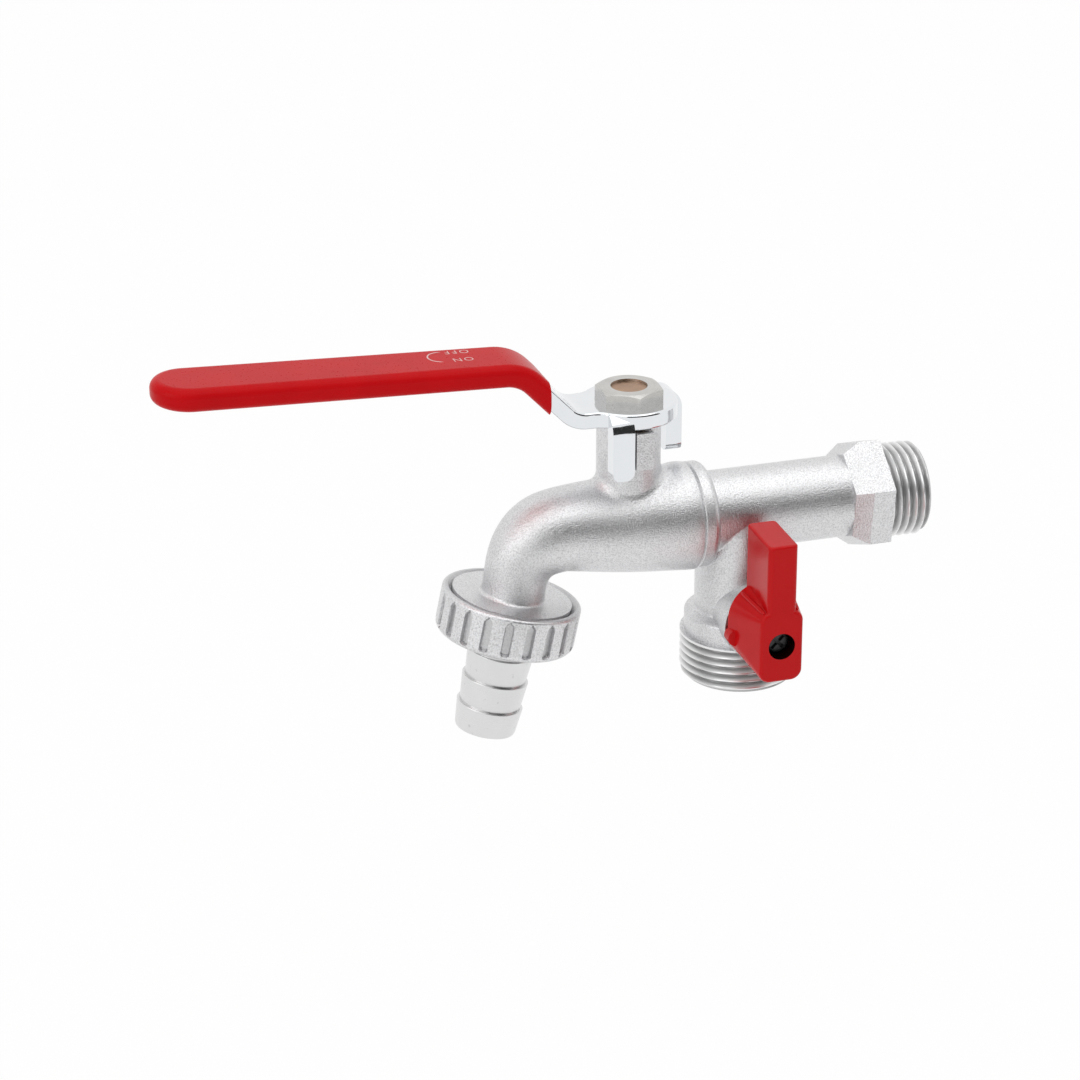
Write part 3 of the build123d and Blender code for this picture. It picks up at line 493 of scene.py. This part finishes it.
def fit_thread(copy, shapes, origin, axis, major, cut, end, chamfer, bore, finish):
    """Cuts a copied casting square to a thread's axis and joins the thread's wall to the two rims left.

    The bore's steps run inwards from the end face, and the last of its radii goes on to the cut.
    """
    start, inner = cut + BRIDGE, bore[-1][1]
    plane = Vector(origin) + Vector(axis) * cut
    bmesh.ops.bisect_plane(
        copy, geom=copy.verts[:] + copy.edges[:] + copy.faces[:], dist=HAIR,
        plane_co=plane, plane_no=axis, clear_outer=True)
    points = thread_points(shapes, origin, axis, major, start, end, chamfer, [*bore, (start, inner)])
    absorb(copy, skin("wall", points, ring_faces(*points.shape[:2], False), finish))
    open_edges = [edge for edge in copy.edges if edge.is_boundary]
    offsets = [(edge.verts[0].co + edge.verts[1].co) / 2 - plane for edge in open_edges]
    near = [abs(offset.dot(Vector(axis))) < RIM_BAND for offset in offsets]
    for outside in (True, False):
        bmesh.ops.bridge_loops(copy, edges=[
            edge for edge, offset, close in zip(open_edges, offsets, near)
            if close and (offset.length > (inner + major) / 2) == outside])


def closed_mesh(copy, name):
    """Writes a joined copy into a new mesh with its faces turned outwards."""
    bmesh.ops.recalc_face_normals(copy, faces=copy.faces)
    mesh = bpy.data.meshes.new(name)
    copy.to_mesh(mesh)
    copy.free()
    return mesh


def ring_mesh(name, points):
    """A closed ring's mesh from its grid of points."""
    copy = bmesh.new()
    absorb(copy, skin("wall", points, ring_faces(*points.shape[:2], True)))
    return closed_mesh(copy, name)


def shown(name, data):
    """An object in the scene with the given data."""
    thing = bpy.data.objects.new(name, data)
    bpy.context.scene.collection.objects.link(thing)
    return thing


def put_piece(mesh, body, finishes, node=None, edge=33.0):
    """Shows a mesh as a piece on its body, in place of its CAD node where it has one.

    It is smooth but for its edges. Faces that came from the CAD keep their normals.
    """
    mesh.shade_smooth()
    mesh.set_sharp_from_angle(angle=math.radians(edge))
    for finish in finishes:
        mesh.materials.append(finish)
    piece = shown(mesh.name, mesh)
    kept = mesh.attributes.get(CAD_NORMAL)
    if kept:
        normals = np.empty(len(mesh.loops) * 3, np.float32)
        kept.data.foreach_get("vector", normals)
        mesh.attributes.remove(kept)
        mesh.normals_split_custom_set(normals.reshape(-1, 3))
    else:
        piece.modifiers.new("Face weights", "WEIGHTED_NORMAL").keep_sharp = True
    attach(piece, body)
    if node:
        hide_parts(node)


def dress(material, *nodes):
    """Gives CAD nodes a finish."""
    for node in nodes:
        frame["nodes"][node].data.materials.clear()
        frame["nodes"][node].data.materials.append(material)


class TAP_OT_rear_body(bpy.types.Operator):
    """Cuts the inlet and lower outlet threads into the rear casting."""

    bl_idname = "tap.rear_body"
    bl_label = "Rear body"

    def execute(self, context):
        shapes, colours = context.scene.tap_shapes, context.scene.tap_colours
        inlet, outlet = mounts["inlet_thread"], mounts["lower_outlet_thread"]
        inlet_major, outlet_major = (mount["dims"]["r_mm"] * MM for mount in (inlet, outlet))
        low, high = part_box("rear_body")
        copy = merged_copy("rear_body")
        cut, end, chamfer, bore, lead = 0.05 * MM, high.x, 0.9 * MM, 6.3 * MM, 0.35 * MM
        fit_thread(copy, shapes, inlet["pos_m"], inlet["axis"], inlet_major, cut, end, chamfer,
                   [(end, bore + lead), (end - lead, bore), (end / 2, bore)], finish=1)
        foot = Vector(outlet["pos_m"])
        foot.z = low.z
        cut, step, chamfer, lead = -10.55 * MM, -5 * MM, 1.4 * MM, 0.3 * MM
        mouth, bore = 9.6 * MM, 7.6 * MM
        fit_thread(copy, shapes, foot, outlet["axis"], outlet_major, cut, 0.0, chamfer,
                   [(0.0, mouth + lead), (-lead, mouth), (step, mouth), (step, bore)], finish=2)
        put_piece(closed_mesh(copy, "rear_casting"), "tap_body", [
            cast_nickel("cast_nickel", colours.nickel, grain=0.30 * MM, strength=0.9),
            cut_thread("inlet_thread", colours.turned, inlet["pos_m"], inlet["axis"],
                       inlet_major, shapes.depth),
            cut_thread("lower_thread", colours.turned, foot, outlet["axis"],
                       outlet_major, shapes.depth)], "rear_body")
        return {"FINISHED"}


class TAP_OT_front_body(bpy.types.Operator):
    """Cuts the union's thread into the front casting."""

    bl_idname = "tap.front_body"
    bl_label = "Front body"

    def execute(self, context):
        shapes, colours = context.scene.tap_shapes, context.scene.tap_colours
        union = joints["union_nut_turn"]
        major, bore = 13.22 * MM, 5.0 * MM
        cut, end, chamfer, lead = 0.9 * MM, 5.3 * MM, 0.8 * MM, 0.3 * MM
        copy = merged_copy("front_body")
        fit_thread(copy, shapes, union["pos_m"], union["axis"], major, cut, end, chamfer,
                   [(end, bore + lead), (end - lead, bore)], finish=1)
        put_piece(closed_mesh(copy, "front_casting"), "tap_body", [
            bpy.data.materials["cast_nickel"],
            cut_thread("union_thread", colours.turned, union["pos_m"], union["axis"], major, shapes.depth)],
            "front_body")
        return {"FINISHED"}


class TAP_OT_union_nut(bpy.types.Operator):
    """Makes the ribbed union nut."""

    bl_idname = "tap.union_nut"
    bl_label = "Union nut"

    def execute(self, context):
        """The outline is turned about the union's axis, less a groove whose depth is a step of
        (half width - distance from the groove's middle); the half width runs to a point at the top."""
        shapes, colours = context.scene.tap_shapes, context.scene.tap_colours
        union = joints["union_nut_turn"]
        radius, length, bore, hole, lip = 15.4 * MM, 10 * MM, 13.3 * MM, 7.53 * MM, 8.2 * MM
        top, foot, lead, rows = 0.7 * MM, 1.8 * MM, 0.95 * MM, 40
        outline = np.concatenate([
            [(lead, bore), (0.1 * MM, bore + 0.85 * MM), (0.0, bore + lead)],
            np.stack([top - top * np.cos(QUARTER), radius - top + top * np.sin(QUARTER)], -1),
            np.stack([np.linspace(top, length - foot, rows + 2)[1:-1], np.full(rows, radius)], -1),
            np.stack([length - foot + foot * np.sin(QUARTER), radius - foot + foot * np.cos(QUARTER)], -1),
            [(length, 11 * MM), (length, hole + 0.4 * MM), (length - 0.4 * MM, hole), (lip, hole),
             (lip, bore), (5 * MM, bore)],
        ])
        share = np.array([-0.5, -0.36, -0.25, -0.21, -0.19, -0.17, -0.15, -0.10, -0.05,
                          0.0, 0.05, 0.10, 0.15, 0.17, 0.19, 0.21, 0.25, 0.36])
        angle = 2 * np.pi / shapes.grip_count * (np.arange(shapes.grip_count)[:, None] + share).reshape(1, -1)
        across = np.abs(np.tile(share, shapes.grip_count))[None, :] * 2 * np.pi * radius / shapes.grip_count
        along, reach = outline[:, :1], outline[:, 1:]
        tip, taper, heel, heel_taper, flank = 0.75 * MM, 1.2 * MM, 1.1 * MM, 0.5 * MM, 0.18 * MM
        half = shapes.grip_width / 2 * np.clip(
            np.minimum((along - tip) / taper, (length - heel - along) / heel_taper), 0, 1)
        groove = shapes.grip_depth * smooth_step((half - across) / flank)
        outside = reach > radius - 1.5 * MM
        points = around(union["pos_m"], union["axis"], along, reach - groove * outside, angle)
        # painted shade in the grip grooves, darkest at their bottom
        groove_shade = (union["pos_m"], union["axis"],
                   radius - shapes.grip_depth, radius - 0.1 * shapes.grip_depth)
        put_piece(ring_mesh("ribbed_nut", points), "union_ring",
                  [cast_nickel("ribbed_nickel", colours.nickel, 0.36 * MM, 0.8, groove_shade)], "union_nut", 40.0)
        return {"FINISHED"}


class TAP_OT_hose_tail(bpy.types.Operator):
    """Turns the hose tail with its rounded crests."""

    bl_idname = "tap.hose_tail"
    bl_label = "Hose tail"

    def execute(self, context):
        """An outline of (distance, radius) points in millimetres is carried round the union's axis."""
        shapes, colours = context.scene.tap_shapes, context.scene.tap_colours
        union = joints["union_nut_turn"]
        flange, collar, neck, crest, valley, bore = 12.4, 7.45, 6.9, 7.35, 6.75, 4.9
        face, under, reach, first, pitch, count, edge = 6.8, 8.15, 10.3, 13.1, 6.25, 3, 0.7
        rim, nick, lead = 0.3, 0.15, 0.4
        soft = shapes.crest_round / MM
        end = first + count * pitch
        outline = [(face, bore), (face, flange - rim), (face + rim, flange), (under, flange), (under, collar),
                   (reach - nick, collar), (reach, collar - nick), (reach, neck), (first, neck)]
        for barb in range(count):
            shoulder = first + barb * pitch
            outline += [(shoulder, crest - soft), (shoulder + 0.3 * soft, crest - 0.3 * soft),
                        (shoulder + soft, crest)]
            outline += [(shoulder + pitch, valley)] if barb < count - 1 else []
        outline += [(end - edge, valley), (end - 0.3 * edge, valley - 0.3 * edge), (end, valley - edge),
                    (end, bore + lead), (end - lead, bore)]
        distance, radius = np.array(outline).T[:, :, None] * MM
        points = around(union["pos_m"], union["axis"], distance, radius, full_turn(shapes.columns))
        put_piece(ring_mesh("turned_tail", points), "hose_union",
                  [turned_nickel(colours.turned, union["pos_m"], union["axis"])], "hose_tail", 25.0)
        return {"FINISHED"}


class TAP_OT_lever(bpy.types.Operator):
    """Dresses the lever, its sleeve and nut, and prints the open and shut mark."""

    bl_idname = "tap.lever"
    bl_label = "Lever"

    def execute(self, context):
        shapes, colours = context.scene.tap_shapes, context.scene.tap_colours
        valve = joints["main_valve_turn"]
        dress(bright_chrome("lever_chrome", colours.chrome), "lever")
        dress(dipped_vinyl(colours.vinyl), "lever_sleeve")
        dress(plated_steel(colours.steel, valve["pos_m"], valve["axis"]), "lever_nut")
        dress(machined_brass(colours.brass), "main_stem", "side_stem", "seat_retainer")
        copy = bmesh.new()
        for letters, middle, slant in (("OFF", (-95.35, 4.05), 0.0), ("ON", (-95.15, -0.63), 0.06)):
            absorb(copy, self.letters(letters, np.array(middle) * MM, slant, shapes.mark_height))
        absorb(copy, self.arc(np.array([(-98.75, 4.5), (-102.2, 2.4), (-99.6, -1.3)]) * MM))
        bmesh.ops.remove_doubles(copy, verts=copy.verts, dist=HAIR)
        put_piece(closed_mesh(copy, "lever_mark"), "main_lever",
                  [plain_polymer("pale_print", colours.print_white, rough=0.5, grain=0.2 * MM)])
        return {"FINISHED"}

    @staticmethod
    def laid(points):
        """Lays points on the sleeve's sloping top: their height is added to the line of that slope."""
        bend, level, slope = -83.6 * MM, (27.2 + 12.05 + 2.55) * MM, 3.1 / 77.8
        points[:, 2] += level + (bend - points[:, 0]) * slope
        return points

    def letters(self, words, middle, slant, height):
        """Letters as thin slabs: scaled to a height, turned half round with a slant, put at their middle."""
        curve = bpy.data.curves.new(words, "FONT")
        curve.body = words
        curve.space_character = 1.25
        curve.offset = -0.012
        curve.extrude = 0.02
        text = shown(words, curve)
        bpy.context.view_layer.update()
        mesh = bpy.data.meshes.new_from_object(text)
        bpy.data.objects.remove(text)
        points = np.empty(len(mesh.vertices) * 3)
        mesh.vertices.foreach_get("co", points)
        points = points.reshape(-1, 3)
        low, high = points.min(0), points.max(0)
        size = height / (high[1] - low[1])
        flat = (points[:, :2] - (low[:2] + high[:2]) / 2) * size
        turn = math.pi + slant
        points[:, 0] = middle[0] + flat[:, 0] * math.cos(turn) - flat[:, 1] * math.sin(turn)
        points[:, 1] = middle[1] + flat[:, 0] * math.sin(turn) + flat[:, 1] * math.cos(turn)
        points[:, 2] = np.where(points[:, 2] > 0, MARK_TOP, MARK_FOOT)
        mesh.vertices.foreach_set("co", self.laid(points).ravel())
        return mesh

    def arc(self, through):
        """A thin line on the circle through three points.

        A flat section is carried along it, and its width runs to a point at both ends.
        """
        first, second, third = through
        steps, thick = 49, 0.15 * MM
        matrix = 2 * np.array([second - first, third - first])
        centre = np.linalg.solve(matrix, [second @ second - first @ first, third @ third - first @ first])
        radius = np.linalg.norm(first - centre)
        angles = np.unwrap(np.arctan2(*(through - centre).T[::-1]))
        angle = np.linspace(angles[0], angles[2], steps)[:, None]
        width = thick * np.clip(4 * np.sin(np.linspace(0, np.pi, steps)), 0, 1)[:, None]
        corner = np.array([(-1, MARK_FOOT), (1, MARK_FOOT), (1, MARK_TOP), (-1, MARK_TOP)])
        reach = radius + width * corner[:, 0]
        points = np.stack([
            centre[0] + reach * np.cos(angle), centre[1] + reach * np.sin(angle),
            np.broadcast_to(corner[:, 1], reach.shape)], -1).reshape(-1, 3)
        return skin("arc", self.laid(points), ring_faces(steps, len(corner), False))


class TAP_OT_side_handle(bpy.types.Operator):
    """Makes the side handle flush in front, adds its two ribs, and dresses it and its screw."""

    bl_idname = "tap.side_handle"
    bl_label = "Side handle"

    def execute(self, context):
        """The block's rounded front edge is made flush under the wing by a prism of the wing's own plan:
        a straight back, two straight sides and two round front corners. A bead, round in section with a
        radius of thick x sqrt(1 - share^8), runs along each shoulder from the base to the wing's foot."""
        colours = context.scene.tap_colours
        valve, axis = joints["side_valve_turn"]["pos_m"], joints["side_valve_turn"]["axis"]
        set_back, half, soft, depth, hole = 0.004 * MM, 3.346 * MM, 1.1 * MM, 1.3 * MM, 3.0 * MM
        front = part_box("side_handle")[0].y + set_back
        corner = np.stack([half - soft + soft * np.cos(QUARTER), front + soft - soft * np.sin(QUARTER)], -1)
        right = np.concatenate([[(half, front + depth)], corner])
        plan = np.concatenate([right, right[::-1] * (-1, 1)])
        levels = valve[2] + np.array([7.1, 8.9])[:, None] * MM
        prism = np.stack(np.broadcast_arrays(valve[0] + plan[None, :, 0], plan[None, :, 1], levels), -1)
        copy = merged_copy("side_handle")
        absorb(copy, skin("wall", prism, ring_faces(*prism.shape[:2], False)))
        thick, share, columns = 0.5 * MM, np.linspace(-1, 1, 25)[:, None], 16
        tip = 0.0002  # keeps the ends of a bead from closing to one point
        for side in (-1, 1):
            base = np.array(valve) + np.array((side * 5.2, -14.5, 8.8)) * MM
            run = np.array((side * -1.4, -10.7, -0.95)) * MM
            length = np.linalg.norm(run)
            bead = around(base, run / length, length * (share + 1) / 2,
                          thick * np.sqrt(1 + tip - share ** 8), full_turn(columns))
            absorb(copy, skin("wall", bead, ring_faces(*bead.shape[:2], False)))
        bmesh.ops.holes_fill(copy, edges=[edge for edge in copy.edges if edge.is_boundary])
        put_piece(closed_mesh(copy, "red_handle"), "side_lever",
                  [moulded_red(colours.plastic, valve, axis, hole)], "side_handle")
        dress(plain_polymer("black_oxide", (0.03, 0.03, 0.032), rough=0.34, grain=0.3 * MM), "handle_screw")
        return {"FINISHED"}


class TAP_OT_inner_parts(bpy.types.Operator):
    """Dresses the balls, seats, washers and rings inside."""

    bl_idname = "tap.inner_parts"
    bl_label = "Inner parts"

    def execute(self, context):
        colours = context.scene.tap_colours
        dress(bright_chrome("ball_chrome", colours.chrome), "main_ball", "lower_ball")
        dress(plain_polymer("seat_plastic", (0.86, 0.86, 0.83), rough=0.45, grain=0.4 * MM),
              "main_seat_front", "main_seat_rear", "body_seal", "stem_thrust_washer", "lower_seat_inner",
              "lower_seat_outer", "side_thrust_washer")
        dress(plain_polymer("black_rubber", (0.022, 0.022, 0.022), rough=0.6, grain=0.3 * MM),
              "stem_o_ring_lower", "stem_o_ring_upper", "hose_washer", "side_o_ring")
        return {"FINISHED"}


class TAP_OT_stage(bpy.types.Operator):
    """Sets up the floor, the room, the lights and the camera."""

    bl_idname = "tap.stage"
    bl_label = "Stage"

    def execute(self, context):
        stage, scene = context.scene.tap_stage, context.scene
        target = Vector(stage.target)
        self.floor(cad_box[0].z - stage.floor_drop)
        self.room(scene, stage.world_level)
        self.dark_card(target)
        for name, offset, size, power in (
                ("top_box", (0.0, -0.15, 1.25), 1.5, stage.top_light),
                ("left_box", (-1.1, -0.35, 0.55), 0.8, stage.fill_light)):
            self.softbox(name, target + Vector(offset), target, size, power)
        turn, rise = stage.azimuth, stage.elevation
        right = Vector((math.cos(turn), math.sin(turn), 0))
        back = Vector((math.sin(turn) * math.cos(rise), -math.cos(turn) * math.cos(rise), math.sin(rise)))
        camera = shown("camera", bpy.data.cameras.new("camera"))
        camera.data.lens = stage.lens
        camera.data.sensor_width = 36
        camera.data.clip_end = 50
        turned = Matrix((right, back.cross(right), back)).transposed().to_4x4()
        camera.matrix_world = Matrix.Translation(target + back * stage.distance) @ turned
        scene.camera = camera
        scene.view_settings.view_transform = "Standard"
        return {"FINISHED"}

    @staticmethod
    def seen(sheet):
        """1 for camera, glossy and transmission rays, 0 for the light that reaches matt surfaces."""
        rays = sheet.tree.nodes.new("ShaderNodeLightPath")
        total = sum(Wire(sheet, rays.outputs[name]) for name in (
            "Is Camera Ray", "Is Glossy Ray", "Is Transmission Ray"))
        return sheet.span(total, 0.0, 1.0)

    def floor(self, level):
        """A round floor, as rings of growing radius about one middle, white to the eye with a soft shadow."""
        middle, columns = (-0.08, 0, level), 64
        radius = np.array([0.001, 0.5, 1.5, 4.0, 9.0])[:, None]
        points = around(middle, (0, 0, 1), 0.0, radius, full_turn(columns))
        mesh = skin("floor", points, ring_faces(len(radius), columns, False))
        material, sheet, _ = shaded("pale_floor", (0.9, 0.9, 0.9), {"Roughness": 0.9})
        glow = sheet.node("ShaderNodeEmission", {}, {"Color": (1, 1, 1, 1), "Strength": 1.0})
        matt = Wire(sheet, sheet.tree.nodes["Principled BSDF"].outputs[0])
        mixed = sheet.node("ShaderNodeMixShader", {}, {0: 0.97 * self.seen(sheet), 1: matt, 2: glow})
        sheet.plug(sheet.tree.nodes["Material Output"].inputs["Surface"], mixed)
        mesh.materials.append(material)
        floor = shown("floor", mesh)

    def room(self, scene, level):
        """A white room to the eye and in reflections, dimmer where it lights matt surfaces."""
        world = bpy.data.worlds.new("room")
        world.use_nodes = True
        scene.world = world
        sheet = NodeSheet(world.node_tree)
        dim = sheet.node("ShaderNodeBackground", {}, {"Color": (1, 1, 1, 1), "Strength": level})
        white = sheet.node("ShaderNodeBackground", {}, {"Color": (1, 1, 1, 1), "Strength": 1.0})
        mixed = sheet.node("ShaderNodeMixShader", {}, {0: self.seen(sheet), 1: dim, 2: white})
        sheet.plug(world.node_tree.nodes["World Output"].inputs["Surface"], mixed)

    def dark_card(self, target):
        """A dark patch of a sphere in front of the tap that only reflections show."""
        reach, rows, columns = 1.6, 19, 25
        turn = np.radians(np.linspace(-20, 56, columns))[None, :]
        rise = np.radians(np.linspace(-4, 36, rows))[:, None]
        points = np.array(target) + reach * np.stack([
            np.sin(turn) * np.cos(rise), -np.cos(turn) * np.cos(rise),
            np.broadcast_to(np.sin(rise), (rows, columns))], -1)
        first = np.arange(rows - 1)[:, None] * columns + np.arange(columns - 1)[None, :]
        quads = first.reshape(-1, 1) + np.array([0, 1, columns + 1, columns])
        mesh = skin("dark_card", points, quads)
        mesh.materials.append(plain_polymer("card_black", (0.03, 0.03, 0.03), rough=0.9, grain=0.01))
        card = shown("dark_card", mesh)
        card.visible_camera = False
        card.visible_diffuse = False
        card.visible_shadow = False

    def softbox(self, name, place, target, size, power):
        """A square lamp that faces the tap."""
        lamp = bpy.data.lights.new(name, "AREA")
        lamp.size = size
        lamp.energy = power
        facing = (target - place).to_track_quat("-Z", "Y").to_matrix().to_4x4()
        shown(name, lamp).matrix_world = Matrix.Translation(place) @ facing


class TAP_PT_panel(bpy.types.Panel):
    """Lists the tap's steps in the sidebar."""

    bl_idname = "TAP_PT_panel"
    bl_label = "Garden tap"
    bl_space_type = "VIEW_3D"
    bl_region_type = "UI"
    bl_category = "Tap"

    def draw(self, context):
        for step in STEPS:
            self.layout.operator(step.bl_idname)


STEPS = (TAP_OT_rear_body, TAP_OT_front_body, TAP_OT_union_nut, TAP_OT_hose_tail, TAP_OT_lever,
         TAP_OT_side_handle, TAP_OT_inner_parts, TAP_OT_stage)
GROUPS = {"tap_shapes": TapShapes, "tap_colours": TapColours, "tap_stage": TapStage}


def register():
    for group in GROUPS.values():
        bpy.utils.register_class(group)
    for name, group in GROUPS.items():
        setattr(bpy.types.Scene, name, PointerProperty(type=group))
    for step in (*STEPS, TAP_PT_panel):
        bpy.utils.register_class(step)


def unregister():
    for step in (TAP_PT_panel, *reversed(STEPS)):
        bpy.utils.unregister_class(step)
    for name in GROUPS:
        delattr(bpy.types.Scene, name)
    for group in GROUPS.values():
        bpy.utils.unregister_class(group)


def main():
    register()
    for step in STEPS:
        family, name = step.bl_idname.split(".")
        getattr(getattr(bpy.ops, family), name)()


if __name__ == "__main__":
    main()
